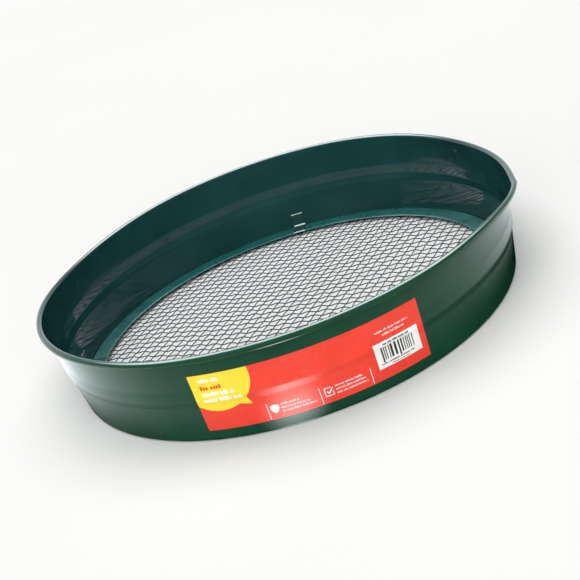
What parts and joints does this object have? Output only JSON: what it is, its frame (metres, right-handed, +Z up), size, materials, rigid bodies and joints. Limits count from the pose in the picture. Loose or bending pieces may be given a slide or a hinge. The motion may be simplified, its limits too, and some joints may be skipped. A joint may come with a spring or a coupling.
{
  "type": "soil sieve",
  "caption": "Round garden soil sieve: tapered green sheet-steel hoop with rolled rim, swaged rib and a woven wire mesh clamped in its foot by a flat ring.",
  "frame": {"origin": "centre of the foot, on the plane the sieve stands on", "axes": "+Z up through the rim, the middle of the label towards -Y"},
  "size_m": [0.36, 0.36, 0.068],
  "materials": {
    "hoop_paint": "gloss dark green paint on sheet steel",
    "ring_paint": "gloss teal green paint on flat sheet steel",
    "clip_paint": "gloss green paint, edges catching the light",
    "mesh_wire": "dark blue-green coating on woven steel wire",
    "label_sheet": "coated red paper label with printed panels"
  },
  "bodies": {
    "root": {"hoop": "hoop_paint", "mesh_warp_wires": "mesh_wire", "mesh_weft_wires": "mesh_wire", "retaining_ring": "ring_paint", "retaining_clip_rear": "clip_paint", "retaining_clip_left": "clip_paint", "retaining_clip_front": "clip_paint", "retaining_clip_right": "clip_paint", "label": "label_sheet"}
  },
  "joints": []
}
